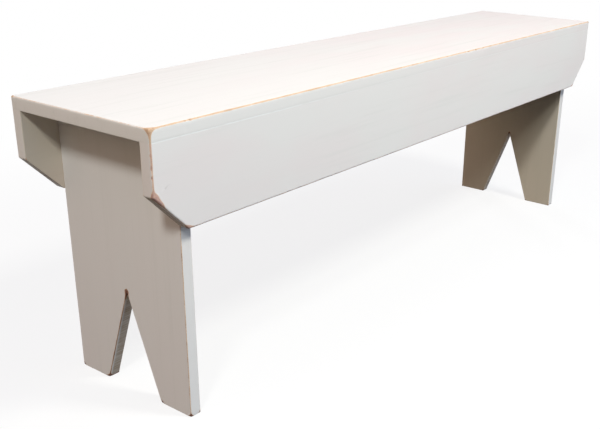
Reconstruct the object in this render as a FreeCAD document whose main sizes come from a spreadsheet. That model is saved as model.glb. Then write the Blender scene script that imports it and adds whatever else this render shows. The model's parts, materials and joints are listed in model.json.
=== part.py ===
import FreeCAD, Part
import os
from dataclasses import dataclass

import Sketcher

# A painted bench made of five boards. One wide seat board lies over a front and a
# rear apron, and two upright leg boards stand between the aprons, set in from the
# ends. Each leg has a tall V notch cut up from the floor. Finish nails, their heads
# sunk under plugs of filler, hold the boards together.
#
# Lengths are in millimetres and angles in degrees. X runs along the bench, from its
# left end to its right end, Y from the front apron to the rear one, and Z up. The
# origin is on the floor, under the middle of the seat.

SIZES = {
    # The whole bench
    "bench_length": 1346.0,
    "bench_width": 286.0,
    "bench_height": 445.0,
    # The boards
    "seat_thickness": 19.0,
    "apron_thickness": 19.0,
    "apron_depth": 127.0,
    "leg_thickness": 19.0,
    # From the end of the bench to the outer face of a leg
    "leg_inset": 58.0,
    # The lower corners of the aprons, cut off at 45 degrees
    "apron_clip": 57.0,
    # The V notch in each leg, measured at the floor
    "notch_width": 120.0,
    "notch_height": 166.0,
    "notch_tip_radius": 1.2,
    # Sanded edges and corners
    "outer_arris_radius": 2.5,
    "inner_arris_radius": 1.0,
    "leg_arris_radius": 1.5,
    "clip_corner_radius": 3.0,
    "foot_corner_radius": 2.0,
    # A finish nail of flat wire, with a T head and a chisel point
    "nail_length": 50.0,
    "nail_width": 1.6,
    "nail_thickness": 1.4,
    "nail_point": 3.0,
    "nail_head_width": 2.8,
    "nail_head_height": 1.0,
    # How deep the head is sunk, and the play between a nail and its hole
    "nail_set_depth": 2.0,
    "nail_clearance": 0.05,
    "nail_tip_clearance": 0.2,
    # How far a hole is cut past the surface that it starts from
    "cut_overrun": 1.0,
    # Rows of nails, each margin from the end of the joint to the nearest nail
    "seat_nail_margin": 40.0,
    "seat_nail_count": 7,
    "leg_nail_margin": 40.0,
    "leg_nail_count": 3,
    "side_nail_margin": 32.0,
    "side_nail_count": 3,
    # From the tips of the nails through the seat down to the highest side nail
    "side_nail_drop": 8.0,
}

# Worked out from the sizes above
DERIVED = {
    "seat_underside": "=bench_height - seat_thickness",
    "leg_width": "=bench_width - 2 * apron_thickness",
    "leg_face": "=bench_length / 2 - leg_inset",
    "leg_middle": "=leg_face - leg_thickness / 2",
    "apron_middle": "=bench_width / 2 - apron_thickness / 2",
    "hole_width": "=nail_width + 2 * nail_clearance",
    "hole_thickness": "=nail_thickness + 2 * nail_clearance",
    "hole_head_width": "=nail_head_width + 2 * nail_clearance",
    # Heights of a nail and its hole, from the surface that the nail is driven through
    "nail_top": "=-nail_set_depth",
    "nail_shoulder": "=nail_top - nail_head_height",
    "nail_tip": "=nail_top - nail_length",
    "hole_end": "=nail_tip - nail_tip_clearance",
    # Rows of nails: the span from first to last, and the height of the lowest
    "seat_nail_span": "=bench_length - 2 * seat_nail_margin",
    "leg_nail_span": "=leg_width - 2 * leg_nail_margin",
    "side_nail_height": "=seat_underside - apron_depth + side_nail_margin",
    "side_nail_span": "=bench_height + nail_tip - side_nail_drop - side_nail_height",
}

# Two faces or points this close together count as one
TOLERANCE = 0.001

# How a sketch numbers the ends of a line, its own axes and its origin
LINE_START, LINE_END = range(1, 3)
VERTICAL_AXIS, HORIZONTAL_AXIS = range(-2, 0)
SKETCH_ORIGIN = (HORIZONTAL_AXIS, LINE_START)

UP = FreeCAD.Vector(0, 0, 1)
HALF_TURN = 180


@dataclass
class NailRow:
    """A row of equal nails, driven through the face of one board into another's edge.

    The first nail starts from the surface at base, given in the axes of the plane, and
    the row runs from there along an axis of the body. A nail points down the plane's
    upward axis, or up it where the row is turned half round.
    """

    plane: str
    base: tuple
    along: str
    span: str
    count: str
    turn: str = None


def seat_to_apron_row(across):
    """Nails down through the seat, all along an apron."""
    return NailRow(
        plane="XZ_Plane",
        base=("-Sizes.seat_nail_span / 2", "Sizes.seat_thickness", across),
        along="X_Axis",
        span="seat_nail_span",
        count="seat_nail_count",
    )


def seat_to_leg_row(middle, surface):
    """Nails down through the seat, across the bench over a leg."""
    return NailRow(
        plane="XZ_Plane",
        base=(middle, surface, "Sizes.leg_nail_span / 2"),
        along="Y_Axis",
        span="leg_nail_span",
        count="leg_nail_count",
    )


def apron_to_leg_row(middle, surface, height, turn=None):
    """Nails through the outer face of an apron, one above another."""
    return NailRow(
        plane="XY_Plane",
        base=(middle, surface, height),
        along="Z_Axis",
        span="side_nail_span",
        count="side_nail_count",
        turn=turn,
    )


# The rows in each kind of board, in the board's own axes. On the upright plane across
# the bench, places are counted from rear to front, so the front has the plus sign
SEAT_ROWS = {
    "front_apron": seat_to_apron_row("Sizes.apron_middle"),
    "rear_apron": seat_to_apron_row("-Sizes.apron_middle"),
    "left_leg": seat_to_leg_row("-Sizes.leg_middle", "Sizes.seat_thickness"),
    "right_leg": seat_to_leg_row("Sizes.leg_middle", "Sizes.seat_thickness"),
}
APRON_TOP_ROW = seat_to_apron_row("-Sizes.apron_thickness / 2")
APRON_FACE_ROWS = {
    side: apron_to_leg_row(
        middle=f"{sign}Sizes.leg_middle",
        surface=None,
        height="Sizes.side_nail_margin - Sizes.apron_depth",
        turn=f"{HALF_TURN}",
    )
    for side, sign in (("left_leg", "-"), ("right_leg", ""))
}
LEG_TOP_ROW = seat_to_leg_row("Sizes.leg_thickness / 2", "Sizes.bench_height")
LEG_FRONT_ROW = apron_to_leg_row(
    middle="Sizes.leg_thickness / 2",
    surface="-Sizes.bench_width / 2",
    height="Sizes.side_nail_height",
    turn=f"{HALF_TURN}",
)
LEG_REAR_ROW = apron_to_leg_row(
    middle="Sizes.leg_thickness / 2",
    surface="Sizes.bench_width / 2",
    height="Sizes.side_nail_height",
)

# Where each kind of board has its own origin, in the axes of the bench
SEAT_BASE = (None, None, "Sizes.seat_underside")
APRON_BASE = (None, "-Sizes.bench_width / 2", "Sizes.seat_underside")
LEG_BASE = ("-Sizes.leg_face", None, None)


def add_sheet(document):
    """The spreadsheet that holds every size of the bench under its own name."""
    sheet = document.addObject("Spreadsheet::Sheet", "Sizes")
    entries = list(SIZES.items()) + list(DERIVED.items())
    for row, (alias, content) in enumerate(entries, start=1):
        sheet.set(f"A{row}", alias)
        sheet.set(f"B{row}", str(content))
        sheet.setAlias(f"B{row}", alias)
    document.recompute()
    return sheet


def size(document, alias):
    return document.getObject("Sizes").get(alias)


def origin_feature(body, role):
    """One of the body's own origin planes or axes."""
    return next(item for item in body.Origin.OriginFeatures if item.Role == role)


def add_body(document, label, base, turned=False):
    """A body at its place on the bench.

    A turned one stands across the middle of the bench from its twin, half round.
    """
    body = document.addObject("PartDesign::Body", label)
    body.Label = label
    angle = HALF_TURN if turned else 0
    body.Placement = FreeCAD.Placement(FreeCAD.Vector(), FreeCAD.Rotation(UP, angle))
    signs = ("-", "-", "") if turned else ("", "", "")
    for axis, sign, expression in zip("xyz", signs, base):
        if expression:
            body.setExpression(f"Placement.Base.{axis}", f"{sign}({expression})")
    return body


def add_sketch(body, name, plane, base=(None, None, None), turn=None):
    """A sketch on one of the body's origin planes, moved and turned within it."""
    sketch = body.newObject("Sketcher::SketchObject", f"{body.Name}_{name}")
    sketch.AttachmentSupport = [(origin_feature(body, plane), "")]
    sketch.MapMode = "FlatFace"
    for axis, expression in zip("xyz", base):
        if expression:
            sketch.setExpression(f"AttachmentOffset.Base.{axis}", expression)
    if turn:
        sketch.setExpression("AttachmentOffset.Rotation.Angle", turn)
    return sketch


def draw_outline(sketch, corners):
    """A closed chain of straight lines; its corners come back as sketch points."""
    points = [FreeCAD.Vector(x, y, 0) for x, y in corners]
    for start, end in zip(points, points[1:] + points[:1]):
        sketch.addGeometry(Part.LineSegment(start, end))
    for line in range(len(points)):
        following = (line + 1) % len(points)
        constrain(sketch, "Coincident", line, LINE_END, following, LINE_START)
    return [(line, LINE_START) for line in range(len(points))]


def constrain(sketch, kind, *references):
    return sketch.addConstraint(Sketcher.Constraint(kind, *references))


def dimension(sketch, kind, first, second, alias):
    """The distance from one sketch point to another, bound to a size of the sheet."""
    value = size(sketch.Document, alias)
    index = constrain(sketch, kind, *first, *second, value)
    name = f"{alias}_{index}"
    sketch.renameConstraint(index, name)
    sketch.setExpression(f"Constraints.{name}", f"Sizes.{alias}")


def add_pad(body, sketch, alias, backwards=False):
    pad = body.newObject("PartDesign::Pad", f"{body.Name}_board")
    pad.Profile = sketch
    pad.Reversed = backwards
    pad.setExpression("Length", f"Sizes.{alias}")
    body.Document.recompute()
    return pad


def round_edges(body, name, alias, wanted):
    """A fillet on every edge of the body's last feature whose bounds pass the test."""
    base = body.Tip
    edges = [
        f"Edge{number}"
        for number, edge in enumerate(base.Shape.Edges, start=1)
        if wanted(edge.BoundBox)
    ]
    fillet = body.newObject("PartDesign::Fillet", f"{body.Name}_{name}")
    fillet.Base = (base, edges)
    fillet.setExpression("Radius", f"Sizes.{alias}")
    body.Tip = fillet
    body.Document.recompute()
    return fillet


def draw_nail(sketch, top, head_width, width, end):
    """The outline of a nail, or of its hole, below the surface at height zero."""
    top_height, half_head, half_width, end_height, shoulder_height, point = (
        size(sketch.Document, top),
        size(sketch.Document, head_width) / 2,
        size(sketch.Document, width) / 2,
        size(sketch.Document, end),
        size(sketch.Document, "nail_shoulder"),
        size(sketch.Document, "nail_point"),
    )
    left = [
        (-half_head, top_height),
        (-half_head, shoulder_height),
        (-half_width, shoulder_height),
        (-half_width, end_height + point),
    ]
    right = [(-x, y) for x, y in reversed(left)]
    corners = draw_outline(sketch, left + [(0, end_height)] + right)
    left_top, left_shoulder, left_neck, left_point, tip = corners[: len(left) + 1]
    right_point, right_neck, right_shoulder, right_top = corners[len(left) + 1 :]
    mirrored = (
        (left_top, right_top),
        (left_shoulder, right_shoulder),
        (left_neck, right_neck),
        (left_point, right_point),
    )
    for left_corner, right_corner in mirrored:
        constrain(sketch, "Symmetric", *left_corner, *right_corner, VERTICAL_AXIS)
    constrain(sketch, "PointOnObject", *tip, VERTICAL_AXIS)
    constrain(sketch, "Vertical", left_top[0])
    constrain(sketch, "Horizontal", left_shoulder[0])
    constrain(sketch, "Vertical", left_neck[0])
    dimension(sketch, "DistanceX", left_top, right_top, head_width)
    dimension(sketch, "DistanceX", left_neck, right_neck, width)
    dimension(sketch, "DistanceY", SKETCH_ORIGIN, left_top, top)
    dimension(sketch, "DistanceY", SKETCH_ORIGIN, left_shoulder, "nail_shoulder")
    dimension(sketch, "DistanceY", SKETCH_ORIGIN, tip, end)
    dimension(sketch, "DistanceY", tip, left_point, "nail_point")


def draw_filler(sketch):
    """The outline of the plug that fills a hole from the nail's head to the surface."""
    half_width = size(sketch.Document, "hole_head_width") / 2
    foot_height = size(sketch.Document, "nail_top")
    left_foot, right_foot, right_top, left_top = draw_outline(sketch, [
        (-half_width, foot_height),
        (half_width, foot_height),
        (half_width, 0),
        (-half_width, 0),
    ])
    for left_corner, right_corner in ((left_foot, right_foot), (left_top, right_top)):
        constrain(sketch, "Symmetric", *left_corner, *right_corner, VERTICAL_AXIS)
    constrain(sketch, "Vertical", left_top[0])
    constrain(sketch, "PointOnObject", *left_top, HORIZONTAL_AXIS)
    dimension(sketch, "DistanceX", left_foot, right_foot, "hole_head_width")
    dimension(sketch, "DistanceY", SKETCH_ORIGIN, left_foot, "nail_top")


def thicken(body, kind, name, sketch, alias):
    """A sketch given thickness to both sides alike, as a pad or as a pocket."""
    feature = body.newObject(kind, f"{body.Name}_{name}")
    feature.Profile = sketch
    feature.SideType = "Symmetric"
    feature.setExpression("Length", f"Sizes.{alias}")
    body.Tip = feature
    body.Document.recompute()
    return feature


def repeat(body, name, feature, row):
    """The rest of a row, evenly spaced from its first nail, hole or plug."""
    pattern = body.newObject("PartDesign::LinearPattern", f"{body.Name}_{name}")
    pattern.Originals = [feature]
    pattern.Direction = (origin_feature(body, row.along), [""])
    pattern.setExpression("Length", f"Sizes.{row.span}")
    pattern.setExpression("Occurrences", f"Sizes.{row.count}")
    body.Tip = pattern
    body.Document.recompute()
    return pattern


def bore_row(body, name, row):
    """The nail holes of a row, as far as they lie in this board."""
    before = body.Tip.Shape.Volume
    sketch = add_sketch(body, f"{name}_hole_outline", row.plane, row.base, row.turn)
    draw_nail(sketch, "cut_overrun", "hole_head_width", "hole_width", "hole_end")
    hole = thicken(body, "PartDesign::Pocket", f"{name}_hole", sketch, "hole_thickness")
    first_cut = before - hole.Shape.Volume
    pattern = repeat(body, f"{name}_holes", hole, row)
    whole_cut = before - pattern.Shape.Volume
    if first_cut <= 0 or whole_cut <= first_cut:
        raise RuntimeError(f"{pattern.Name} cuts nothing")


def add_nails(document, label, row, base, turned):
    """The nails of a row, in the axes of the board whose edge they are driven into."""
    body = add_body(document, label, base, turned)
    body.AllowCompound = True
    sketch = add_sketch(body, "outline", row.plane, row.base, row.turn)
    draw_nail(sketch, "nail_top", "nail_head_width", "nail_width", "nail_tip")
    nail = thicken(body, "PartDesign::Pad", "nail", sketch, "nail_thickness")
    repeat(body, "nails", nail, row)
    return body


def add_fillers(document, label, rows, base, turned=False):
    """The plugs over all the nails that are driven through one board's face."""
    body = add_body(document, label, base, turned)
    body.AllowCompound = True
    for name, row in rows.items():
        sketch = add_sketch(body, f"{name}_outline", row.plane, row.base, row.turn)
        draw_filler(sketch)
        filler = thicken(body, "PartDesign::Pad", f"{name}_filler", sketch, "hole_thickness")
        repeat(body, f"{name}_fillers", filler, row)
    return body


def add_seat_board(document):
    """The top board, with the nails to both aprons and both legs through its face."""
    body = add_body(document, "seat_board", SEAT_BASE)
    sketch = add_sketch(body, "outline", "XY_Plane")
    half_length = size(document, "bench_length") / 2
    half_width = size(document, "bench_width") / 2
    near_left, near_right, far_right, far_left = draw_outline(sketch, [
        (-half_length, -half_width),
        (half_length, -half_width),
        (half_length, half_width),
        (-half_length, half_width),
    ])
    for line in (near_left[0], far_right[0]):
        constrain(sketch, "Horizontal", line)
    for line in (near_right[0], far_left[0]):
        constrain(sketch, "Vertical", line)
    constrain(sketch, "Symmetric", *near_left, *far_right, *SKETCH_ORIGIN)
    dimension(sketch, "DistanceX", near_left, near_right, "bench_length")
    dimension(sketch, "DistanceY", near_right, far_right, "bench_width")
    add_pad(body, sketch, "seat_thickness")
    round_edges(body, "arrises", "outer_arris_radius", lambda box: box.ZMax > TOLERANCE)
    for name, row in SEAT_ROWS.items():
        bore_row(body, name, row)
    return body


def add_apron(document, label, turned=False):
    """A long side board: top edge at height zero, outer face at zero across."""
    body = add_body(document, label, APRON_BASE, turned)
    sketch = add_sketch(body, "outline", "XZ_Plane")
    half_length = size(document, "bench_length") / 2
    depth = size(document, "apron_depth")
    clip = size(document, "apron_clip")
    top_left, side_left, foot_left, foot_right, side_right, top_right = draw_outline(sketch, [
        (-half_length, 0),
        (-half_length, clip - depth),
        (clip - half_length, -depth),
        (half_length - clip, -depth),
        (half_length, clip - depth),
        (half_length, 0),
    ])
    constrain(sketch, "PointOnObject", *top_left, HORIZONTAL_AXIS)
    constrain(sketch, "Vertical", top_left[0])
    for left, right in ((top_left, top_right), (side_left, side_right), (foot_left, foot_right)):
        constrain(sketch, "Symmetric", *left, *right, VERTICAL_AXIS)
    dimension(sketch, "DistanceX", top_left, top_right, "bench_length")
    dimension(sketch, "DistanceY", foot_left, top_left, "apron_depth")
    dimension(sketch, "DistanceX", side_left, foot_left, "apron_clip")
    dimension(sketch, "DistanceY", foot_left, side_left, "apron_clip")
    add_pad(body, sketch, "apron_thickness", backwards=True)

    def crosses_below_top(box):
        return box.YLength > TOLERANCE and box.ZMin < -TOLERANCE

    def on_outer_face(box):
        return box.YMax < TOLERANCE and box.ZMin < -TOLERANCE

    def on_inner_face(box):
        return box.YMin > size(document, "apron_thickness") - TOLERANCE and box.ZMin < -TOLERANCE

    round_edges(body, "clip_corners", "clip_corner_radius", crosses_below_top)
    round_edges(body, "outer_arrises", "outer_arris_radius", on_outer_face)
    round_edges(body, "inner_arrises", "inner_arris_radius", on_inner_face)

    bore_row(body, "seat", APRON_TOP_ROW)
    for name, row in APRON_FACE_ROWS.items():
        bore_row(body, name, row)
    return body


def add_leg(document, label, turned=False):
    """An upright leg board: outer face at zero along the bench, feet at height zero."""
    body = add_body(document, label, LEG_BASE, turned)
    sketch = add_sketch(body, "outline", "YZ_Plane")
    half_width = size(document, "leg_width") / 2
    half_notch = size(document, "notch_width") / 2
    height = size(document, "seat_underside")
    notch_height = size(document, "notch_height")
    near_foot, near_notch, tip, far_notch, far_foot, far_top, near_top = draw_outline(sketch, [
        (-half_width, 0),
        (-half_notch, 0),
        (0, notch_height),
        (half_notch, 0),
        (half_width, 0),
        (half_width, height),
        (-half_width, height),
    ])
    constrain(sketch, "PointOnObject", *near_foot, HORIZONTAL_AXIS)
    constrain(sketch, "PointOnObject", *near_notch, HORIZONTAL_AXIS)
    constrain(sketch, "PointOnObject", *tip, VERTICAL_AXIS)
    constrain(sketch, "Vertical", far_foot[0])
    for near, far in ((near_foot, far_foot), (near_notch, far_notch), (near_top, far_top)):
        constrain(sketch, "Symmetric", *near, *far, VERTICAL_AXIS)
    dimension(sketch, "DistanceX", near_foot, far_foot, "leg_width")
    dimension(sketch, "DistanceX", near_notch, far_notch, "notch_width")
    dimension(sketch, "DistanceY", SKETCH_ORIGIN, tip, "notch_height")
    dimension(sketch, "DistanceY", far_foot, far_top, "seat_underside")
    add_pad(body, sketch, "leg_thickness")

    def at_notch_tip(box):
        raised = TOLERANCE < box.ZMin and box.ZMax < height - TOLERANCE
        return box.XLength > TOLERANCE and box.YLength < TOLERANCE and raised

    def at_foot_corner(box):
        return box.XLength > TOLERANCE and box.ZMax < TOLERANCE

    def on_a_face_below_top(box):
        return box.XLength < TOLERANCE and box.ZMin < height - TOLERANCE

    round_edges(body, "notch_tip", "notch_tip_radius", at_notch_tip)
    round_edges(body, "foot_corners", "foot_corner_radius", at_foot_corner)
    round_edges(body, "arrises", "leg_arris_radius", on_a_face_below_top)

    bore_row(body, "seat", LEG_TOP_ROW)
    bore_row(body, "front", LEG_FRONT_ROW)
    bore_row(body, "rear", LEG_REAR_ROW)
    return body


def add_bench(document):
    """Every board, every row of nails and every set of plugs, in the order of building."""
    boards = [
        add_seat_board(document),
        add_apron(document, "front_apron"),
        add_apron(document, "rear_apron", turned=True),
        add_leg(document, "left_leg"),
        add_leg(document, "right_leg", turned=True),
    ]
    nail_rows = [
        ("seat_to_front_apron_nails", APRON_TOP_ROW, APRON_BASE, False),
        ("seat_to_rear_apron_nails", APRON_TOP_ROW, APRON_BASE, True),
        ("seat_to_left_leg_nails", LEG_TOP_ROW, LEG_BASE, False),
        ("seat_to_right_leg_nails", LEG_TOP_ROW, LEG_BASE, True),
        ("front_apron_to_left_leg_nails", LEG_FRONT_ROW, LEG_BASE, False),
        ("rear_apron_to_left_leg_nails", LEG_REAR_ROW, LEG_BASE, False),
        # Turned half round, the right leg has its rear side at the front apron
        ("front_apron_to_right_leg_nails", LEG_REAR_ROW, LEG_BASE, True),
        ("rear_apron_to_right_leg_nails", LEG_FRONT_ROW, LEG_BASE, True),
    ]
    nails = [add_nails(document, *row) for row in nail_rows]
    fillers = [
        add_fillers(document, "seat_nail_fillers", SEAT_ROWS, SEAT_BASE),
        add_fillers(document, "front_apron_nail_fillers", APRON_FACE_ROWS, APRON_BASE),
        add_fillers(document, "rear_apron_nail_fillers", APRON_FACE_ROWS, APRON_BASE, turned=True),
    ]
    return boards + nails + fillers


def check(document, nodes):
    """Stop if any feature has failed or any piece has no valid solid."""
    for item in document.Objects:
        if "Invalid" in item.State or "Error" in item.State:
            raise RuntimeError(f"{item.Name} failed: {item.State}")
    for node in nodes:
        if node.Shape.isNull() or not node.Shape.isValid() or not node.Shape.Solids:
            raise RuntimeError(f"{node.Label} has no valid solid")


def main():
    document = FreeCAD.newDocument("Bench")
    add_sheet(document)
    nodes = add_bench(document)
    document.recompute()
    check(document, nodes)
    os.makedirs("parts", exist_ok=True)
    for node in nodes:
        node.Shape.exportStep(os.path.join("parts", f"{node.Label}.step"))
        print(node.Label, len(node.Shape.Solids), "solid(s),", round(node.Shape.Volume), "mm3")


main()
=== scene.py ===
import json
import math
from dataclasses import dataclass

import bmesh
import bpy
import numpy as np
from mathutils import Euler, Matrix, Vector, noise

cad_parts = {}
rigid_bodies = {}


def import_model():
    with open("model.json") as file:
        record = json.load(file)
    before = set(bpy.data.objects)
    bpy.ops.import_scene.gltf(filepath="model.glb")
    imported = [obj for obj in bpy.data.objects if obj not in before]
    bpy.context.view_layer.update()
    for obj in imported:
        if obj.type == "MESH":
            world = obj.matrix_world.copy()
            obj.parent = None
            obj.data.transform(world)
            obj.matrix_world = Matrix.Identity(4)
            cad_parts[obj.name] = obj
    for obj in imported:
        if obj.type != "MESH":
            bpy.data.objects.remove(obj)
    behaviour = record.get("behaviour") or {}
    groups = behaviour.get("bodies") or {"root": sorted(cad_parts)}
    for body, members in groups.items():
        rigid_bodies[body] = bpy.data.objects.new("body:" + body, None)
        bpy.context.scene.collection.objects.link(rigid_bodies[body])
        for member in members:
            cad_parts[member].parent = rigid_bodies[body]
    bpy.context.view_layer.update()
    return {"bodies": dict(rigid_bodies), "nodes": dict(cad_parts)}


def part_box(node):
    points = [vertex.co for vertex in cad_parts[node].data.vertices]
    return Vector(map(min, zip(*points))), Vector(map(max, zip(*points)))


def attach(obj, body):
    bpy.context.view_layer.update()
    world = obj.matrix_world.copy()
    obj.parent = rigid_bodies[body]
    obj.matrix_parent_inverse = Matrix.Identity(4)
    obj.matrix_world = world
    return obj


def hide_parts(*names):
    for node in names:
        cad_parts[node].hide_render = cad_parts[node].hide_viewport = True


# A painted wooden bench whose edges are sanded through to the wood. Lengths are in
# metres, and those whose names end in _MM in millimetres. X points to the bench's right
# end, Y to its rear and Z up, from the floor under its middle.

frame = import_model()
BODY = next(iter(frame["bodies"]))

MM = 0.001

SEAT_LOW, SEAT_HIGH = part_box("seat_board")
APRON_LOW, APRON_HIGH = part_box("front_apron")
LEG_LOW, LEG_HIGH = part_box("right_leg")

HALF_LENGTH = SEAT_HIGH.x
HALF_WIDTH = SEAT_HIGH.y
SEAT_TOP = SEAT_HIGH.z
SEAM_HEIGHT = SEAT_LOW.z
APRON_FOOT = APRON_LOW.z
SEAT_THICKNESS = SEAT_HIGH.z - SEAT_LOW.z
APRON_THICKNESS = APRON_HIGH.y - APRON_LOW.y
LEG_THICKNESS = LEG_HIGH.x - LEG_LOW.x
LEG_FACE = LEG_HIGH.x
LEG_HALF_WIDTH = LEG_HIGH.y

APRON_CLIP = 57 * MM
CLIP_TOP = APRON_FOOT + APRON_CLIP
NOTCH_HALF_WIDTH = 60 * MM
NOTCH_HEIGHT = 166 * MM

# How finely the edges of the boards are divided
EDGE_SPACING = 3 * MM
CORNER_STEPS = 4
ARRIS_STEPS = 5
FACE_STEPS_MM = (0.8, 2.0, 4.0, 7.0, 11.0, 17.0, 26.0)
SIDE_SHARES = (0.25, 0.5, 0.75)
SHARP_ANGLE = math.radians(50)

# How many points a board's cross-section has, from the one face round to the other
SECTION_ROWS = 2 * (len(FACE_STEPS_MM) + ARRIS_STEPS + 1) + len(SIDE_SHARES)

# Points that are nearer than this are joined, and shorter edges are taken out
JOIN_DISTANCE = 0.02 * MM
SHORTEST_EDGE = 0.01 * MM

# Rounded corners in the outlines
SEAT_CORNER_RADIUS = 3.0 * MM
CLIP_CORNER_RADIUS = 2.5 * MM
FOOT_CORNER_RADIUS = 0.9 * MM
NOTCH_CORNER_RADIUS = 1.0 * MM
NOTCH_TIP_RADIUS = 1.2 * MM

# Rounded arrises
OUTER_ARRIS_RADIUS = 2.6 * MM
INNER_ARRIS_RADIUS = 1.0 * MM
SEAM_ARRIS_RADIUS = 0.08 * MM
LEG_ARRIS_RADIUS = 1.2 * MM

# The sanding is uneven: waves of these lengths change the radius by these shares
SANDING_WAVES = ((34 * MM, 0.22), (9 * MM, 0.14))

# How far from an edge the paint is sanded off, and how much deeper a nick goes
SANDING_REACH_MM = 1.8
NICK_SANDING_MM = 3.0

# Over how many millimetres the wear of two arrises runs together
LONG_BOARD_SOFTNESS_MM = 3.0
LEG_SOFTNESS_MM = 2.2

# The near upright edge is sanded on its front side, from the clip up to the top, a bit
# more in its upper half, and the sanding runs on down the clip from its shoulder
NEAR_ARRIS_INSET = 1.6 * MM
NEAR_ARRIS_MIDDLE_DROP = 50 * MM
CLIP_SHOULDER_INSET = 4 * MM
CLIP_RUN_INSET = 14 * MM
CLIP_RUN_DROP = 12 * MM


def on_front(inset, height):
    """A place on the front face of the bench, this far in from its left end."""
    return (inset - HALF_LENGTH, -HALF_WIDTH, height)


def on_left_leg(depth, across, height):
    """A place on the left leg, this deep behind its outer face."""
    return (depth - LEG_FACE, across, height)


NEAR_ARRIS_FOOT = on_front(NEAR_ARRIS_INSET, CLIP_TOP)
NEAR_ARRIS_MIDDLE = on_front(NEAR_ARRIS_INSET, SEAT_TOP - NEAR_ARRIS_MIDDLE_DROP)
NEAR_ARRIS_TOP = on_front(NEAR_ARRIS_INSET, SEAT_TOP)
CLIP_SHOULDER = on_front(CLIP_SHOULDER_INSET, CLIP_TOP)
CLIP_RUN = on_front(CLIP_RUN_INSET, CLIP_TOP - CLIP_RUN_DROP)
CLIP_TIP = on_front(APRON_CLIP, APRON_FOOT)
FAR_CLIP_TIP = (HALF_LENGTH - APRON_CLIP, -HALF_WIDTH, APRON_FOOT)


@dataclass
class Nick:
    """A small dent, knocked into an edge or a face, with or without its paint."""

    at: tuple
    radius: float
    depth: float
    bare: float


NICKS = (
    # On the near upright edge
    Nick(on_front(0.0, SEAT_TOP - 49.5 * MM), 3.0 * MM, 0.9 * MM, 1.0),
    Nick(on_front(0.0, SEAT_TOP - 62.0 * MM), 2.6 * MM, 0.7 * MM, 1.0),
    Nick(on_front(0.0, SEAT_TOP - 33.0 * MM), 2.4 * MM, 0.4 * MM, 0.6),
    # Along the front edge of the seat
    Nick(on_front(68 * MM, SEAT_TOP), 3.2 * MM, 0.8 * MM, 1.0),
    Nick(on_front(60 * MM, SEAT_TOP), 2.6 * MM, 0.4 * MM, 0.7),
    Nick(on_front(776 * MM, SEAT_TOP), 7.0 * MM, 1.2 * MM, 0.5),
    Nick(on_front(803 * MM, SEAT_TOP), 5.0 * MM, 0.8 * MM, 0.7),
    Nick(on_front(830 * MM, SEAT_TOP), 7.0 * MM, 1.2 * MM, 0.4),
    # On the front face
    Nick(on_front(62 * MM, SEAT_TOP - 12 * MM), 4.0 * MM, 0.35 * MM, 0.0),
    Nick(on_front(226 * MM, SEAT_TOP - 82 * MM), 5.0 * MM, 0.25 * MM, 0.0),
    # On the feet of the left leg
    Nick(on_left_leg(0.0, -NOTCH_HALF_WIDTH, 0.0), 8.0 * MM, 0.7 * MM, 1.0),
    Nick(on_left_leg(0.0, NOTCH_HALF_WIDTH, 0.0), 5.0 * MM, 0.6 * MM, 0.5),
    Nick(on_left_leg(0.0, -LEG_HALF_WIDTH, 0.0), 6.0 * MM, 0.6 * MM, 1.0),
    Nick(on_left_leg(0.0, LEG_HALF_WIDTH, 0.0), 7.5 * MM, 0.5 * MM, 1.0),
    # In the tip of its notch
    Nick(on_left_leg(2 * MM, 1 * MM, NOTCH_HEIGHT), 5.0 * MM, 0.3 * MM, 1.0),
    Nick(on_left_leg(5 * MM, 2 * MM, NOTCH_HEIGHT - 6 * MM), 7.0 * MM, 0.3 * MM, 1.0),
    Nick(on_left_leg(5 * MM, 5 * MM, NOTCH_HEIGHT - 13 * MM), 6.0 * MM, 0.3 * MM, 0.9),
)


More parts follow.
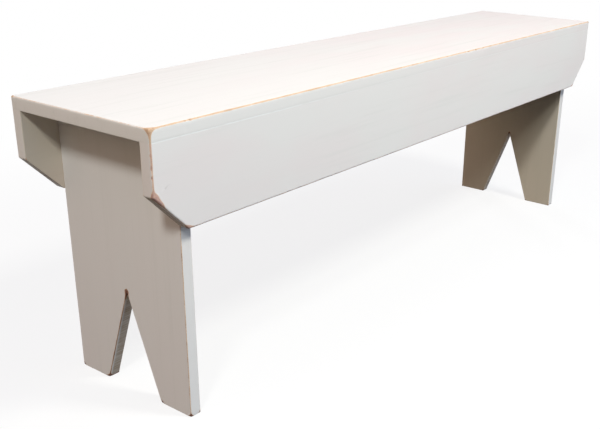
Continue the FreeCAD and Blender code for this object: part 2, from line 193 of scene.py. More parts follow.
class Outline:
    """A board's outline, counter-clockwise: straight edges between rounded corners.

    An inset is a pair: how far the rounding of the arris draws the outline in, and how
    much further it goes. An edge that butts against another board isn't rounded, so
    only the second part moves it.
    """

    def __init__(self, corners, radii, butted=()):
        self.corners = [Vector(corner) for corner in corners]
        self.radii = radii
        count = len(corners)
        following = self.corners[1:] + self.corners[:1]
        self.directions = [(b - a).normalized() for a, b in zip(self.corners, following)]
        self.lengths = [(b - a).length for a, b in zip(self.corners, following)]
        self.normals = [Vector((-d.y, d.x)) for d in self.directions]
        self.moves = [0.0 if edge in butted else 1.0 for edge in range(count)]
        self.turns = [
            math.atan2(self.directions[i - 1].cross(self.directions[i]),
                       self.directions[i - 1].dot(self.directions[i]))
            for i in range(count)
        ]

    def corner(self, index, inset):
        """The sharp corner once the edges beside it have moved in."""
        rounding, further = inset
        before, after = self.normals[index - 1], self.normals[index]
        move_before = self.moves[index - 1] * rounding + further
        move_after = self.moves[index] * rounding + further
        cross = before.cross(after)
        shift = Vector((
            (after.y * move_before - before.y * move_after) / cross,
            (before.x * move_after - after.x * move_before) / cross,
        ))
        return self.corners[index] + shift

    def arc_point(self, index, share, inset):
        """A point on a rounded corner. An inward corner's arc grows with the inset."""
        turn = self.turns[index]
        if turn > 0:
            radius = max(self.radii[index] - sum(inset), 0.0)
            side = 1
        else:
            radius = self.radii[index] + sum(inset)
            side = -1
        tangent = radius * math.tan(abs(turn) / 2)
        start = self.corner(index, inset) - self.directions[index - 1] * tangent
        spoke = self.normals[index - 1] * radius * side
        return start + spoke + Matrix.Rotation(turn * share, 2) @ -spoke

    def edge_point(self, index, share, inset):
        """A point on the straight edge from one rounded corner to the next."""
        start = self.arc_point(index, 1.0, inset)
        end = self.arc_point((index + 1) % len(self.corners), 0.0, inset)
        return start.lerp(end, share)

    def stations(self):
        """Places all round the outline, as functions of how far it is drawn in."""
        found = []
        for index, length in enumerate(self.lengths):
            arcs = CORNER_STEPS if self.radii[index] else 0
            for step in range(arcs + 1):
                found.append((self.arc_point, index, step / arcs if arcs else 0.0))
            steps = math.ceil(length / EDGE_SPACING)
            for step in range(1, steps):
                found.append((self.edge_point, index, step / steps))
        return found


@dataclass
class Board:
    """A flat board, with its outer face at depth zero.

    Its place takes a point of the outline and a depth to a point of the bench. Edge 0
    of the outline runs from corner 0 to corner 1. Wear says how many millimetres
    further than usual the paint is sanded back, for the arrises of the outer face and
    of the back, for corners through the whole thickness, and for lines from one place
    to another. Sawn edges are the sides that show the marks of the saw, in a darker
    grey that is partly painted shade.
    """

    name: str
    replaces: tuple
    outline: Outline
    thickness: float
    place: callable
    face_radius: float
    back_radius: float
    face_wear: dict
    back_wear: dict
    corner_wear: dict
    softness_mm: float
    line_wear: tuple = ()
    sawn_edges: tuple = ()


def sanded_radius(place, base):
    """The radius of an arris where the sanding has left it."""
    share = 1.0
    for length, depth in SANDING_WAVES:
        share += depth * noise.noise(place / length)
    return base * share


def cross_section(face_radius, back_radius, thickness):
    """From the outer face round the side to the back: pairs of inset and depth."""
    steps = []
    for step in reversed(FACE_STEPS_MM):
        steps.append(((face_radius, step * MM), 0.0))
    for step in range(ARRIS_STEPS + 1):
        angle = math.pi / 2 * step / ARRIS_STEPS
        rounding = face_radius * (1 - math.sin(angle))
        steps.append(((rounding, 0.0), face_radius * (1 - math.cos(angle))))
    side = thickness - face_radius - back_radius
    for share in SIDE_SHARES:
        steps.append(((0.0, 0.0), face_radius + side * share))
    for step in range(ARRIS_STEPS + 1):
        angle = math.pi / 2 * step / ARRIS_STEPS
        rounding = back_radius * (1 - math.cos(angle))
        steps.append(((rounding, 0.0), thickness - back_radius * (1 - math.sin(angle))))
    for step in FACE_STEPS_MM:
        steps.append(((back_radius, step * MM), thickness))
    return steps


def board_points(board):
    """Points along the outline, the depth of each, and one or zero for sawn or not."""
    points, depths, sawn = [], [], []
    for locate, index, share in board.outline.stations():
        rim = locate(index, share, (0.0, 0.0))
        place = board.place(rim.x, rim.y, 0.0)
        face_radius = sanded_radius(place, board.face_radius)
        back_radius = sanded_radius(place, board.back_radius)
        on_cut = index in board.sawn_edges and locate == board.outline.edge_point
        for inset, depth in cross_section(face_radius, back_radius, board.thickness):
            points.append(locate(index, share, inset))
            depths.append(depth)
            on_side = face_radius <= depth <= board.thickness - back_radius
            sawn.append(1.0 if on_cut and on_side else 0.0)
    return points, depths, sawn


def board_faces(count):
    """Quads between the cross-sections all round, and a flat face on either side."""
    faces = []
    for station in range(count):
        here = station * SECTION_ROWS
        after = (station + 1) % count * SECTION_ROWS
        for row in range(SECTION_ROWS - 1):
            faces.append((here + row, here + row + 1, after + row + 1, after + row))
    faces.append([station * SECTION_ROWS for station in range(count)])
    faces.append([(station + 1) * SECTION_ROWS - 1 for station in reversed(range(count))])
    return faces


def distance_to_line(points, start, end):
    """Distances from points to a straight line with two ends, or to a single place."""
    start, end = np.array(start), np.array(end)
    along = end - start
    never_zero = 1e-12
    length = max(along @ along, never_zero)
    shares = np.clip((points - start) @ along / length, 0, 1)
    return np.linalg.norm(points - start - shares[:, None] * along, axis=1)


def edge_distance(board, points, depths, vertices):
    """How far each vertex is from where the paint is sanded away, in millimetres.

    The distances to all the worn arrises run into each other softly, so the paint
    draws back further where two of them meet.
    """
    corners = board.outline.corners
    reaches = []
    for wear, level in ((board.face_wear, 0.0), (board.back_wear, board.thickness)):
        for edge, extra in wear.items():
            end = corners[(edge + 1) % len(corners)]
            flat = distance_to_line(points, corners[edge], end)
            reaches.append(np.hypot(flat, depths - level) / MM - extra)
    for corner, extra in board.corner_wear.items():
        flat = distance_to_line(points, corners[corner], corners[corner])
        reaches.append(flat / MM - extra)
    for start, end, extra in board.line_wear:
        reaches.append(distance_to_line(vertices, start, end) / MM - extra)
    total = sum(np.exp(-reach / board.softness_mm) for reach in reaches)
    never_zero = 1e-9
    return -board.softness_mm * np.log(total + never_zero)


def add_attribute(mesh, name, values):
    """Gives each vertex a number that the paint reads by its name."""
    attribute = mesh.attributes.new(name, "FLOAT", "POINT")
    attribute.data.foreach_set("value", np.asarray(values, np.float32))


def tidy_mesh(mesh):
    """Joins the points that fall together at sharp corners, and turns faces outward."""
    made = bmesh.new()
    made.from_mesh(mesh)
    bmesh.ops.remove_doubles(made, verts=made.verts, dist=JOIN_DISTANCE)
    bmesh.ops.dissolve_degenerate(made, edges=made.edges, dist=SHORTEST_EDGE)
    bmesh.ops.triangulate(made, faces=[face for face in made.faces if len(face.verts) > 4])
    bmesh.ops.recalc_face_normals(made, faces=made.faces)
    for face in made.faces:
        face.smooth = True
    made.to_mesh(mesh)
    made.free()
    mesh.set_sharp_from_angle(angle=SHARP_ANGLE)


def knock_nicks(mesh):
    """Sinks each nick's dent into the surface and marks where its paint is off."""
    marks = mesh.attributes["nick"].data
    normals = [vertex.normal.copy() for vertex in mesh.vertices]
    for nick in NICKS:
        centre = Vector(nick.at)
        for vertex, normal, mark in zip(mesh.vertices, normals, marks):
            distance = (vertex.co - centre).length
            if distance < nick.radius:
                fall = (1 - (distance / nick.radius) ** 2) ** 2
                vertex.co -= normal * nick.depth * fall
                mark.value = max(mark.value, nick.bare * fall)
    mesh.update()


def build_board(board, material):
    """A board with its sanded edges and nicks, and the attributes its paint reads."""
    points, depths, sawn = board_points(board)
    vertices = [board.place(p.x, p.y, d) for p, d in zip(points, depths)]
    mesh = bpy.data.meshes.new(board.name)
    mesh.from_pydata(vertices, [], board_faces(len(points) // SECTION_ROWS))
    distances = edge_distance(board, np.array(points), np.array(depths), np.array(vertices))
    add_attribute(mesh, "edge_mm", distances)
    add_attribute(mesh, "sawn", sawn)
    add_attribute(mesh, "nick", np.zeros(len(vertices)))
    tidy_mesh(mesh)
    knock_nicks(mesh)
    mesh.materials.append(material)
    piece = bpy.data.objects.new(board.name, mesh)
    bpy.context.scene.collection.objects.link(piece)
    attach(piece, BODY)
    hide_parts(*board.replaces)


def seat_board():
    """The seat. Its underside butts on the aprons, so that arris is nearly sharp."""
    # Edges: front, right end, rear, left end
    outline = Outline(
        corners=[
            (-HALF_LENGTH, -HALF_WIDTH),
            (HALF_LENGTH, -HALF_WIDTH),
            (HALF_LENGTH, HALF_WIDTH),
            (-HALF_LENGTH, HALF_WIDTH),
        ],
        radii=[SEAT_CORNER_RADIUS] * 4,
    )
    return Board(
        name="seat_board_painted",
        replaces=("seat_board", "seat_nail_fillers"),
        outline=outline,
        thickness=SEAT_THICKNESS,
        place=lambda u, v, w: Vector((u, v, SEAT_TOP - w)),
        face_radius=OUTER_ARRIS_RADIUS,
        back_radius=SEAM_ARRIS_RADIUS,
        face_wear={0: 0.15, 1: -0.7, 2: -0.9, 3: -0.65},
        back_wear={},
        corner_wear={3: -6.5},
        softness_mm=LONG_BOARD_SOFTNESS_MM,
        line_wear=(
            (NEAR_ARRIS_FOOT, NEAR_ARRIS_TOP, -0.5),
            (NEAR_ARRIS_TOP, NEAR_ARRIS_TOP, 0.4),
        ),
    )


def apron(name, replaces, place, end_wear, line_wear=()):
    """A long side board with clipped lower corners, butted under the seat."""
    # Edges: foot, right clip, right end, top, left end, left clip, seen from outside
    outline = Outline(
        corners=[
            (APRON_CLIP - HALF_LENGTH, APRON_FOOT),
            (HALF_LENGTH - APRON_CLIP, APRON_FOOT),
            (HALF_LENGTH, CLIP_TOP),
            (HALF_LENGTH, SEAM_HEIGHT),
            (-HALF_LENGTH, SEAM_HEIGHT),
            (-HALF_LENGTH, CLIP_TOP),
        ],
        radii=[CLIP_CORNER_RADIUS] * 3 + [0, 0] + [CLIP_CORNER_RADIUS],
        butted=(3,),
    )
    return Board(
        name=name,
        replaces=replaces,
        outline=outline,
        thickness=APRON_THICKNESS,
        place=place,
        face_radius=OUTER_ARRIS_RADIUS,
        back_radius=INNER_ARRIS_RADIUS,
        face_wear={0: -0.1, 1: -0.5, 2: -0.8, 4: end_wear, 5: -0.6},
        back_wear=dict.fromkeys((0, 1, 2, 4, 5), -2.6),
        corner_wear={},
        softness_mm=LONG_BOARD_SOFTNESS_MM,
        line_wear=line_wear,
        sawn_edges=(1, 5),
    )


def leg(name, replaces, place, corner_wear):
    """An upright board with a V notch, its top butted under the seat."""
    # Edges: first foot, the notch's two sides, second foot, side, top, side
    outline = Outline(
        corners=[
            (-LEG_HALF_WIDTH, 0.0),
            (-NOTCH_HALF_WIDTH, 0.0),
            (0.0, NOTCH_HEIGHT),
            (NOTCH_HALF_WIDTH, 0.0),
            (LEG_HALF_WIDTH, 0.0),
            (LEG_HALF_WIDTH, SEAM_HEIGHT),
            (-LEG_HALF_WIDTH, SEAM_HEIGHT),
        ],
        radii=[
            FOOT_CORNER_RADIUS,
            NOTCH_CORNER_RADIUS,
            NOTCH_TIP_RADIUS,
            NOTCH_CORNER_RADIUS,
            FOOT_CORNER_RADIUS,
            0,
            0,
        ],
        butted=(5,),
    )
    return Board(
        name=name,
        replaces=replaces,
        outline=outline,
        thickness=LEG_THICKNESS,
        place=place,
        face_radius=LEG_ARRIS_RADIUS,
        back_radius=LEG_ARRIS_RADIUS,
        face_wear={0: -0.9, 1: -1.1, 2: -0.5, 3: -0.9, 4: -1.1, 6: -0.85},
        back_wear={0: -1.0, 1: -1.2, 2: -1.2, 3: -1.0, 4: -1.3, 6: -1.3},
        corner_wear=corner_wear,
        softness_mm=LEG_SOFTNESS_MM,
        sawn_edges=(1, 2),
    )


def node(tree, kind, inputs=(), **settings):
    """A shader node with its settings, its inputs set to values or linked."""
    made = tree.nodes.new(kind)
    for name, value in settings.items():
        setattr(made, name, value)
    for key, value in dict(inputs).items():
        socket = made.inputs[key]
        if isinstance(value, bpy.types.NodeSocket):
            tree.links.new(value, socket)
        else:
            socket.default_value = value
    return made


def mix(tree, factor, first, second, blend="MIX"):
    """A mix of two colours. The node's sockets share names, so they go by number."""
    inputs = {0: factor, 6: first, 7: second}
    made = node(tree, "ShaderNodeMix", inputs, data_type="RGBA", blend_type=blend)
    return made.outputs[2]


def math_node(tree, operation, *values):
    """A number worked out from one or two others, or from more, taken in turn."""
    result = values[0]
    for value in values[1:] or (0.0,):
        made = node(tree, "ShaderNodeMath", {0: result, 1: value}, operation=operation)
        result = made.outputs[0]
    return result


def weighted_sum(tree, *terms):
    """The sum of some numbers, each times its weight."""
    parts = [math_node(tree, "MULTIPLY", value, weight) for value, weight in terms]
    return math_node(tree, "ADD", *parts)


def map_range(tree, value, low, high, to_low=0.0, to_high=1.0, smooth=True):
    """A value taken from one range to another, held at its ends."""
    inputs = {0: value, 1: low, 2: high, 3: to_low, 4: to_high}
    kind = "SMOOTHSTEP" if smooth else "LINEAR"
    made = node(tree, "ShaderNodeMapRange", inputs, interpolation_type=kind, clamp=True)
    return made.outputs[0]


def stretched_noise(tree, coordinates, scale, detail=3.0, roughness=0.5, distortion=0.0):
    """Noise whose features are one over the scale long on each axis, in metres."""
    mapped = node(tree, "ShaderNodeMapping", {"Vector": coordinates, "Scale": scale})
    inputs = {
        "Vector": mapped.outputs[0],
        "Scale": 1.0,
        "Detail": detail,
        "Roughness": roughness,
        "Distortion": distortion,
    }
    return node(tree, "ShaderNodeTexNoise", inputs).outputs["Fac"]


def read_attribute(tree, name):
    """The number that each vertex of a board has under this name."""
    return node(tree, "ShaderNodeAttribute", attribute_name=name).outputs["Fac"]


def empty_material(name):
    """A new material whose nodes are still to be made."""
    material = bpy.data.materials.new(name)
    material.use_nodes = True
    material.node_tree.nodes.clear()
    return material


def set_surface(tree, shader, kind="ShaderNodeOutputMaterial"):
    """Makes a shader the surface of its material or of the world."""
    output = node(tree, kind)
    tree.links.new(shader.outputs[0], output.inputs["Surface"])


def colour(red, green, blue):
    """A display colour of 0 to 255 as the linear colour that a shader takes."""
    def linear(value):
        share = value / 255
        return share / 12.92 if share <= 0.04045 else ((share + 0.055) / 1.055) ** 2.4

    return (linear(red), linear(green), linear(blue), 1.0)


PAINT = colour(238, 236, 232)
PAINT_ROSY = colour(239, 232, 229)
PAINT_GREY = colour(222, 222, 216)
PAINT_FILLED = colour(252, 252, 250)
PAINT_THIN = colour(232, 205, 180)
WOOD_HONEY = colour(218, 186, 152)
WOOD_TAN = colour(198, 162, 136)
WOOD_ORANGE = colour(216, 176, 152)
WOOD_RED = colour(192, 156, 148)
WOOD_BROWN = colour(166, 126, 106)
WOOD_UMBER = colour(124, 90, 78)
WOOD_DARK = colour(88, 46, 38)
# Sawn faces, in the notches and on the clips, turned down from the lamps: the grey of thin paint
# on sawn wood, darkened further as painted shade
SAW_TONE_AND_SHADE = colour(161, 141, 118)
STEEL_DARK = colour(150, 148, 144)
STEEL_LIGHT = colour(182, 180, 174)

# Painted light and shade, as tints of the paint: painted shade on the faces inside
# the bench, where the paint is darker and yellower, and painted light on the outer
# faces of the legs, where it is a little paler
INSIDE_PAINTED_SHADE = (0.94, 0.89, 0.78, 1.0)
LEG_FACE_PAINTED_LIGHT = (1.055, 1.075, 1.115, 1.0)

# A tint is full at the first depth under its face, and gone at the second
TINT_DEPTHS = (0.2 * MM, 1.2 * MM)

# Features per metre of the noise: along the grain and across it, or on each axis
BRUSH_SCALES = (4, 95)
GRAIN_SCALES = (9, 420)
CLOUD_SCALES = (5, 11)
BREAK_SCALE = (55, 55, 55)
SPECKLE_SCALE = (420, 420, 420)
SAW_SCALE = (30, 30, 700)
DRAWN_SCALE = (900, 900, 60)

# Over which range of its noise each pattern comes in
STREAK_RANGE = (0.54, 0.78)
FINE_STREAK_RANGE = (0.58, 0.82)
CLOUD_RANGE = (0.3, 0.7)
SAW_RANGE = (0.35, 0.7)
WANDER_RANGE = (0.25, 0.75)
CRUMBLE_RANGE = (0.3, 0.7)
SPECKLE_RANGE = (0.38, 0.62)
PATCH_RANGE = (0.52, 0.72)
SHEEN_RANGE = (0.3, 0.7)
DRAWN_RANGE = (0.3, 0.7)

# From the least to the most of a pattern
CLOUD_SHARES = (0.2, 1.0)
SAW_SHARES = (0.6, 1.0)
PATCH_SHARES = (0.0, 0.6)

# The paint that fills the joint under the seat: how far from it in height and how deep
# in from the long sides it thins out, how broken it is, and how it fades to the right
SEAM_HEIGHTS = (0.3 * MM, 1.1 * MM)
SEAM_DEPTHS = (2.5 * MM, 0.5 * MM)
SEAM_BREAK_RANGE = (0.3, 0.5)
SEAM_BREAK_SHARES = (0.3, 0.9)
SEAM_FADE_PLACES = (-0.5, -0.2)
SEAM_FADE_SHARES = (1.0, 0.3)

# The sanding's depth is broken up by these, and takes the paint off over these depths
WANDER_MM = 0.32
CRUMBLE_MM = 0.2
THIN_DEPTHS_MM = (-0.35, 0.25)
BARE_DEPTHS_MM = (0.15, 0.95)

# Wood at the bottom of a nick is dark: how bare it has to be, and how dark it gets
DARK_NICK_RANGE = (0.35, 0.8)
DARK_NICK_SHARES = (0.0, 0.85)

# How high each pattern stands, as a share of the bump's distance. Saw marks are cuts,
# and bare wood lies a little under the film of paint
BRUSH_HEIGHT = 0.5
GRAIN_HEIGHT = 0.5
SAW_HEIGHT = -0.8
BARE_HEIGHT = -0.7
BUMP_STRENGTH = 0.35
BUMP_DISTANCE = 0.25 * MM

# Gloss. Bare wood is rougher than the paint by this much
PAINT_ROUGHNESS = (0.44, 0.58)
BARE_ROUGHNESS = 0.22
PAINT_SPECULAR = 0.2
STEEL_ROUGHNESS = (0.3, 0.45)


def wood_patterns(tree, coordinates, grain_axis):
    """The noise that the paint and the wood are made from, by name."""
    def along_grain(scales):
        lengthwise, across = scales
        scale = [across] * 3
        scale[grain_axis] = lengthwise
        return scale

    def pattern(scale, **settings):
        return stretched_noise(tree, coordinates, scale, **settings)

    return {
        "brush": pattern(along_grain(BRUSH_SCALES), detail=4),
        "grain": pattern(along_grain(GRAIN_SCALES), detail=3, distortion=0.4),
        "cloud": pattern(along_grain(CLOUD_SCALES), detail=2),
        "break": pattern(BREAK_SCALE, detail=4, roughness=0.6),
        "speckle": pattern(SPECKLE_SCALE, detail=3, roughness=0.65),
        "saw": pattern(SAW_SCALE, detail=2),
    }


def clouded_paint(tree, place, patterns, streak_depth, rosy_shares):
    """Paint with rosy clouds, and faint streaks where the grain and the brush show."""
    rosy = map_range(tree, place["X"], -HALF_LENGTH, HALF_LENGTH, *rosy_shares)
    clouds = map_range(tree, patterns["cloud"], *CLOUD_RANGE, *CLOUD_SHARES)
    streaks = map_range(tree, patterns["brush"], *STREAK_RANGE, 0.0, streak_depth)
    fine = map_range(tree, patterns["grain"], *FINE_STREAK_RANGE, 0.0, streak_depth)
    paint = mix(tree, math_node(tree, "MULTIPLY", rosy, clouds), PAINT, PAINT_ROSY)
    paint = mix(tree, streaks, paint, PAINT_GREY)
    return mix(tree, fine, paint, PAINT_GREY)


@dataclass
class Tint:
    """Painted light and shade: the paint's factor on a face this far from the middle."""

    axis: str
    face: float
    outer: bool
    colour: tuple


def tinted(tree, paint, place, light_tints):
    """The paint times each painted light and shade tint, which fades out just under its face."""
    full_depth, gone_depth = TINT_DEPTHS
    for tint in light_tints:
        away = math_node(tree, "ABSOLUTE", place[tint.axis])
        if tint.outer:
            full, gone = tint.face - full_depth, tint.face - gone_depth
            share = map_range(tree, away, gone, full)
        else:
            full, gone = tint.face + full_depth, tint.face + gone_depth
            share = map_range(tree, away, full, gone, 1.0, 0.0)
        paint = mix(tree, share, paint, tint.colour, "MULTIPLY")
    return paint


def seam_share(tree, place, patterns):
    """Where paint fills the joint under the seat, which shows on the long sides."""
    above = math_node(tree, "SUBTRACT", place["Z"], SEAM_HEIGHT)
    off_seam = math_node(tree, "ABSOLUTE", above)
    across = math_node(tree, "ABSOLUTE", place["Y"])
    side_start, side_end = (HALF_WIDTH - depth for depth in SEAM_DEPTHS)
    return math_node(
        tree, "MULTIPLY",
        map_range(tree, off_seam, *SEAM_HEIGHTS, 1.0, 0.0),
        map_range(tree, patterns["break"], *SEAM_BREAK_RANGE, *SEAM_BREAK_SHARES),
        map_range(tree, place["X"], *SEAM_FADE_PLACES, *SEAM_FADE_SHARES),
        map_range(tree, across, side_start, side_end),
    )


def sanding_depth(tree, patterns, nick):
    """How deep the sanding goes in millimetres, broken up by noise."""
    edge = read_attribute(tree, "edge_mm")
    wander = map_range(
        tree, patterns["break"], *WANDER_RANGE, -WANDER_MM, WANDER_MM, smooth=False
    )
    crumble = map_range(
        tree, patterns["speckle"], *CRUMBLE_RANGE, -CRUMBLE_MM, CRUMBLE_MM, smooth=False
    )
    depth = math_node(tree, "SUBTRACT", SANDING_REACH_MM, edge)
    deeper = math_node(tree, "MULTIPLY", nick, NICK_SANDING_MM)
    return math_node(tree, "ADD", depth, wander, crumble, deeper)


def bare_wood(tree, patterns, nick, woods):
    """Wood of two tones, speckled and patchy, and dark in the nicks."""
    light, deep = woods
    wood = mix(tree, map_range(tree, patterns["speckle"], *SPECKLE_RANGE), deep, light)
    patches = map_range(tree, patterns["break"], *PATCH_RANGE, *PATCH_SHARES)
    wood = mix(tree, patches, wood, deep)
    dark = map_range(tree, nick, *DARK_NICK_RANGE, *DARK_NICK_SHARES)
    return mix(tree, dark, wood, WOOD_DARK)


def painted_wood(name, grain_axis, streak_depth, rosy_shares, woods, light_tints=()):
    """Off-white paint over wood of two tones, with the grain along one axis.

    The rosy shares say how much of the rosy clouding there is at the left end of the
    bench and at the right end.
    """
    material = empty_material(name)
    tree = material.node_tree
    coordinates = node(tree, "ShaderNodeTexCoord").outputs["Object"]
    place = node(tree, "ShaderNodeSeparateXYZ", {0: coordinates}).outputs
    patterns = wood_patterns(tree, coordinates, grain_axis)

    saw_marks = map_range(tree, patterns["saw"], *SAW_RANGE, *SAW_SHARES)
    sawn = math_node(tree, "MULTIPLY", read_attribute(tree, "sawn"), saw_marks)
    paint = clouded_paint(tree, place, patterns, streak_depth, rosy_shares)
    # Painted light and shade on some faces of the board
    paint = tinted(tree, paint, place, light_tints)
    paint = mix(tree, seam_share(tree, place, patterns), paint, PAINT_FILLED)
    # The sawn faces take a darker grey with saw marks: partly their own tone, partly painted
    # shade in the notches and under the clips
    paint = mix(tree, sawn, paint, SAW_TONE_AND_SHADE)

    nick = read_attribute(tree, "nick")
    depth = sanding_depth(tree, patterns, nick)
    thin = map_range(tree, depth, *THIN_DEPTHS_MM)
    bare = map_range(tree, depth, *BARE_DEPTHS_MM)
    surface = mix(tree, thin, paint, PAINT_THIN)
    surface = mix(tree, bare, surface, bare_wood(tree, patterns, nick, woods))

    relief = weighted_sum(
        tree,
        (patterns["brush"], BRUSH_HEIGHT),
        (patterns["grain"], GRAIN_HEIGHT),
        (sawn, SAW_HEIGHT),
        (bare, BARE_HEIGHT),
    )
    bump = node(tree, "ShaderNodeBump", {
        "Strength": BUMP_STRENGTH,
        "Distance": BUMP_DISTANCE,
        "Height": relief,
    })
    sheen = map_range(tree, patterns["brush"], *SHEEN_RANGE, *PAINT_ROUGHNESS, smooth=False)
    matter = math_node(tree, "MULTIPLY", bare, BARE_ROUGHNESS)
    shader = node(tree, "ShaderNodeBsdfPrincipled", {
        "Base Color": surface,
        "Roughness": math_node(tree, "ADD", sheen, matter),
        "Specular IOR Level": PAINT_SPECULAR,
        "Normal": bump.outputs[0],
    })
    set_surface(tree, shader)
    return material


def nail_steel():
    """Bright drawn wire, with fine marks along it."""
    material = empty_material("nail_steel")
    tree = material.node_tree
    coordinates = node(tree, "ShaderNodeTexCoord").outputs["Object"]
    drawn = stretched_noise(tree, coordinates, DRAWN_SCALE, detail=3)
    shader = node(tree, "ShaderNodeBsdfPrincipled", {
        "Base Color": mix(tree, map_range(tree, drawn, *DRAWN_RANGE), STEEL_DARK, STEEL_LIGHT),
        "Metallic": 1.0,
        "Roughness": map_range(tree, drawn, *DRAWN_RANGE, *STEEL_ROUGHNESS),
    })
    set_surface(tree, shader)
    return material


def build_bench():
    """The five boards in paint, and bright steel on the nails inside them."""
    seat_paint = painted_wood(
        "painted_wood_seat",
        grain_axis=0,
        streak_depth=0.34,
        rosy_shares=(0.2, 1.6),
        woods=(WOOD_HONEY, WOOD_TAN),
    )
    apron_paint = painted_wood(
        "painted_wood_apron",
        grain_axis=0,
        streak_depth=0.2,
        rosy_shares=(1.0, 1.0),
        woods=(WOOD_ORANGE, WOOD_RED),
        # Painted shade on the aprons' inner faces: darker, yellower paint
        light_tints=(Tint("Y", HALF_WIDTH - APRON_THICKNESS, outer=False, colour=INSIDE_PAINTED_SHADE),),
    )
    leg_paint = painted_wood(
        "painted_wood_leg",
        grain_axis=2,
        streak_depth=0.2,
        rosy_shares=(0.3, 0.3),
        woods=(WOOD_BROWN, WOOD_UMBER),
        light_tints=(
            # Painted shade on the legs' inner faces: darker, yellower paint
            Tint("X", LEG_FACE - LEG_THICKNESS, outer=False, colour=INSIDE_PAINTED_SHADE),
            # Painted light on the legs' outer faces: paler, cooler paint
            Tint("X", LEG_FACE, outer=True, colour=LEG_FACE_PAINTED_LIGHT),
        ),
    )
    front_apron = apron(
        "front_apron_painted",
        replaces=("front_apron", "front_apron_nail_fillers"),
        place=lambda u, v, w: Vector((u, w - HALF_WIDTH, v)),
        end_wear=-8.0,
        line_wear=(
            (NEAR_ARRIS_FOOT, NEAR_ARRIS_TOP, -0.95),
            (NEAR_ARRIS_MIDDLE, NEAR_ARRIS_TOP, -6.5),
            (CLIP_SHOULDER, CLIP_RUN, 0.1),
            (CLIP_SHOULDER, CLIP_SHOULDER, 0.5),
            (CLIP_TIP, CLIP_TIP, 1.8),
            (FAR_CLIP_TIP, FAR_CLIP_TIP, 0.3),
        ),
    )
    rear_apron = apron(
        "rear_apron_painted",
        replaces=("rear_apron", "rear_apron_nail_fillers"),
        place=lambda u, v, w: Vector((-u, HALF_WIDTH - w, v)),
        end_wear=-1.2,
    )
    left_leg = leg(
        "left_leg_painted",
        replaces=("left_leg",),
        place=lambda u, v, w: Vector((w - LEG_FACE, u, v)),
        corner_wear={0: -1.6, 1: -0.6, 2: 1.6, 3: 0.8, 4: -1.2},
    )
    right_leg = leg(
        "right_leg_painted",
        replaces=("right_leg",),
        place=lambda u, v, w: Vector((LEG_FACE - w, -u, v)),
        corner_wear={2: -0.8},
    )
    build_board(seat_board(), seat_paint)
    build_board(front_apron, apron_paint)
    build_board(rear_apron, apron_paint)
    build_board(left_leg, leg_paint)
    build_board(right_leg, leg_paint)
    steel = nail_steel()
    for name, item in frame["nodes"].items():
        if name.endswith("_nails"):
            item.data.materials.clear()
            item.data.materials.append(steel)


FLOOR_REACH = 14.0
FLOOR_WHITE = colour(250, 250, 250)
FLOOR_BOUNCE = colour(44, 36, 27)
BACKGROUND = (1.0, 1.0, 1.0, 1.0)

# This share of the floor's white is glow near the bench, and the rest is matt and takes
# the shadow. The glow grows to the whole between two distances from the bench's middle,
# which are measured after a stretch, so they lie further out along the bench
GLOW_SHARE = 0.81
GLOW_STRETCH = (0.8, 1.3, 0.0)
GLOW_DISTANCES = (0.8, 1.9)


def seen_directly(tree):
    """One for rays from the camera and for reflections, zero for scattered light."""
    path = node(tree, "ShaderNodeLightPath").outputs
    kinds = ("Is Camera Ray", "Is Glossy Ray", "Is Transmission Ray")
    return math_node(tree, "MAXIMUM", *(path[kind] for kind in kinds))


def build_floor():
    """A white floor that keeps the bench's shadow, and gives back a dim brown light."""
    mesh = bpy.data.meshes.new("floor")
    signs = ((-1, -1), (1, -1), (1, 1), (-1, 1))
    corners = [(x * FLOOR_REACH, y * FLOOR_REACH, 0) for x, y in signs]
    mesh.from_pydata(corners, [], [(0, 1, 2, 3)])
    floor = bpy.data.objects.new("floor", mesh)
    bpy.context.scene.collection.objects.link(floor)

    material = empty_material("floor")
    tree = material.node_tree
    seen = seen_directly(tree)
    tone = mix(tree, seen, FLOOR_BOUNCE, FLOOR_WHITE)
    matt = node(tree, "ShaderNodeBsdfDiffuse", {"Color": tone})
    glow = node(tree, "ShaderNodeEmission", {"Color": BACKGROUND, "Strength": 1.0})
    place = node(tree, "ShaderNodeTexCoord").outputs["Object"]
    stretched = node(tree, "ShaderNodeVectorMath", {0: place, 1: GLOW_STRETCH},
                     operation="MULTIPLY").outputs[0]
    away = node(tree, "ShaderNodeVectorMath", {0: stretched}, operation="LENGTH")
    share = map_range(tree, away.outputs["Value"], *GLOW_DISTANCES, GLOW_SHARE, 1.0)
    share = math_node(tree, "MULTIPLY", share, seen)
    shader = node(tree, "ShaderNodeMixShader", {0: share, 1: matt.outputs[0], 2: glow.outputs[0]})
    set_surface(tree, shader)
    mesh.materials.append(material)


@dataclass
class Lamp:
    """A square lamp that faces the point it is aimed at, and that no camera sees."""

    name: str
    place: tuple
    aim: tuple
    size: float
    power: float
    tint: tuple


LAMPS = (
    # High to the left
    Lamp(
        name="key",
        place=(-2.36, -1.12, 2.42),
        aim=(-0.40, 0.0, 0.35),
        size=0.36,
        power=37.0,
        tint=(1.0, 1.0, 0.94),
    ),
    # High in front
    Lamp(
        name="window",
        place=(0.28, -1.70, 2.34),
        aim=(0.05, 0.0, 0.35),
        size=0.5,
        power=52.0,
        tint=(1.0, 0.995, 0.9),
    ),
    # Low behind the right end, for the faces turned from the camera. It stands no
    # higher than the bench, so it adds nothing to the seat
    Lamp(
        name="fill",
        place=(1.90, 1.80, 0.22),
        aim=(0.0, 0.0, 0.22),
        size=0.4,
        power=40.0,
        tint=(1.0, 0.99, 0.97),
    ),
)

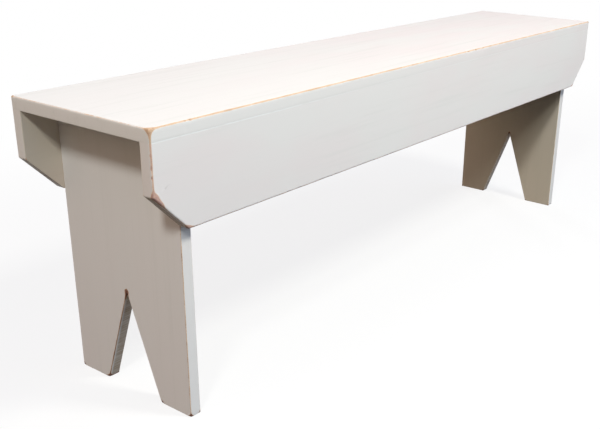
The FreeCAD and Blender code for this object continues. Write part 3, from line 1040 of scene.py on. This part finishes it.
# The room around, seen by the bench only: a base, and light that is added as a direction
# nears an axis, between two cosines of their angle, from the left, the front and above
ROOM_BASE = (0.01, 0.01, 0.01, 1.0)
ROOM_LIGHTS = (
    ((-0.73, 0.40, 0.55), (0.6, 0.95), (0.76, 0.54, 0.35, 1.0)),
    ((0.42, -0.90, 0.10), (0.5, 0.95), (0.84, 0.98, 1.2, 1.0)),
    ((0.0, 0.0, 1.0), (0.3, 0.9), (0.06, 0.09, 0.24, 1.0)),
)


def add_lamp(lamp):
    """Puts a lamp into the scene, turned to where it is aimed."""
    light = bpy.data.lights.new(lamp.name, "AREA")
    light.size = lamp.size
    light.energy = lamp.power
    light.color = lamp.tint
    held = bpy.data.objects.new(lamp.name, light)
    ray = Vector(lamp.aim) - Vector(lamp.place)
    turn = ray.to_track_quat("-Z", "Y").to_matrix().to_4x4()
    held.matrix_world = Matrix.Translation(lamp.place) @ turn
    held.visible_camera = False
    bpy.context.scene.collection.objects.link(held)


def build_light():
    """The lamps, and a dim room around with a plain background."""
    for lamp in LAMPS:
        add_lamp(lamp)

    world = bpy.data.worlds.new("room")
    world.use_nodes = True
    bpy.context.scene.world = world
    tree = world.node_tree
    tree.nodes.clear()
    direction = node(tree, "ShaderNodeTexCoord").outputs["Generated"]
    room = ROOM_BASE
    for axis, cosines, tint in ROOM_LIGHTS:
        near = node(tree, "ShaderNodeVectorMath", {0: direction, 1: axis},
                    operation="DOT_PRODUCT")
        share = map_range(tree, near.outputs["Value"], *cosines)
        room = mix(tree, share, room, tint, "ADD")
    tone = mix(tree, seen_directly(tree), room, BACKGROUND)
    background = node(tree, "ShaderNodeBackground", {"Color": tone, "Strength": 1.0})
    set_surface(tree, background, "ShaderNodeOutputWorld")


# The camera, as solved from the corners of the bench in the photograph
CAMERA_PLACE = (-1.34338, -0.94433, 0.70977)
CAMERA_TURN = math.radians(53.4107)
CAMERA_TILT = math.radians(-21.8864)
CAMERA_ROLL = math.radians(1.0951)
SENSOR_WIDTH_MM = 36.0
IMAGE_WIDTH = 600
IMAGE_HEIGHT = 429
FOCAL_PIXELS = 864.752
CENTRE_ACROSS = 348.567
CENTRE_DOWN = 243.426


def build_camera():
    """The camera, whose optical axis meets the picture beside its middle."""
    lens = bpy.data.cameras.new("camera")
    lens.sensor_width = SENSOR_WIDTH_MM
    lens.lens = FOCAL_PIXELS * SENSOR_WIDTH_MM / IMAGE_WIDTH
    lens.shift_x = (IMAGE_WIDTH / 2 - CENTRE_ACROSS) / IMAGE_WIDTH
    lens.shift_y = (CENTRE_DOWN - IMAGE_HEIGHT / 2) / IMAGE_WIDTH
    camera = bpy.data.objects.new("camera", lens)
    turn = Euler((math.pi / 2 + CAMERA_TILT, 0.0, -CAMERA_TURN)).to_matrix().to_4x4()
    roll = Matrix.Rotation(CAMERA_ROLL, 4, "Z")
    camera.matrix_world = Matrix.Translation(CAMERA_PLACE) @ turn @ roll
    bpy.context.scene.collection.objects.link(camera)
    bpy.context.scene.camera = camera


build_bench()
build_floor()
build_light()
build_camera()
bpy.context.scene.view_settings.view_transform = "Standard"
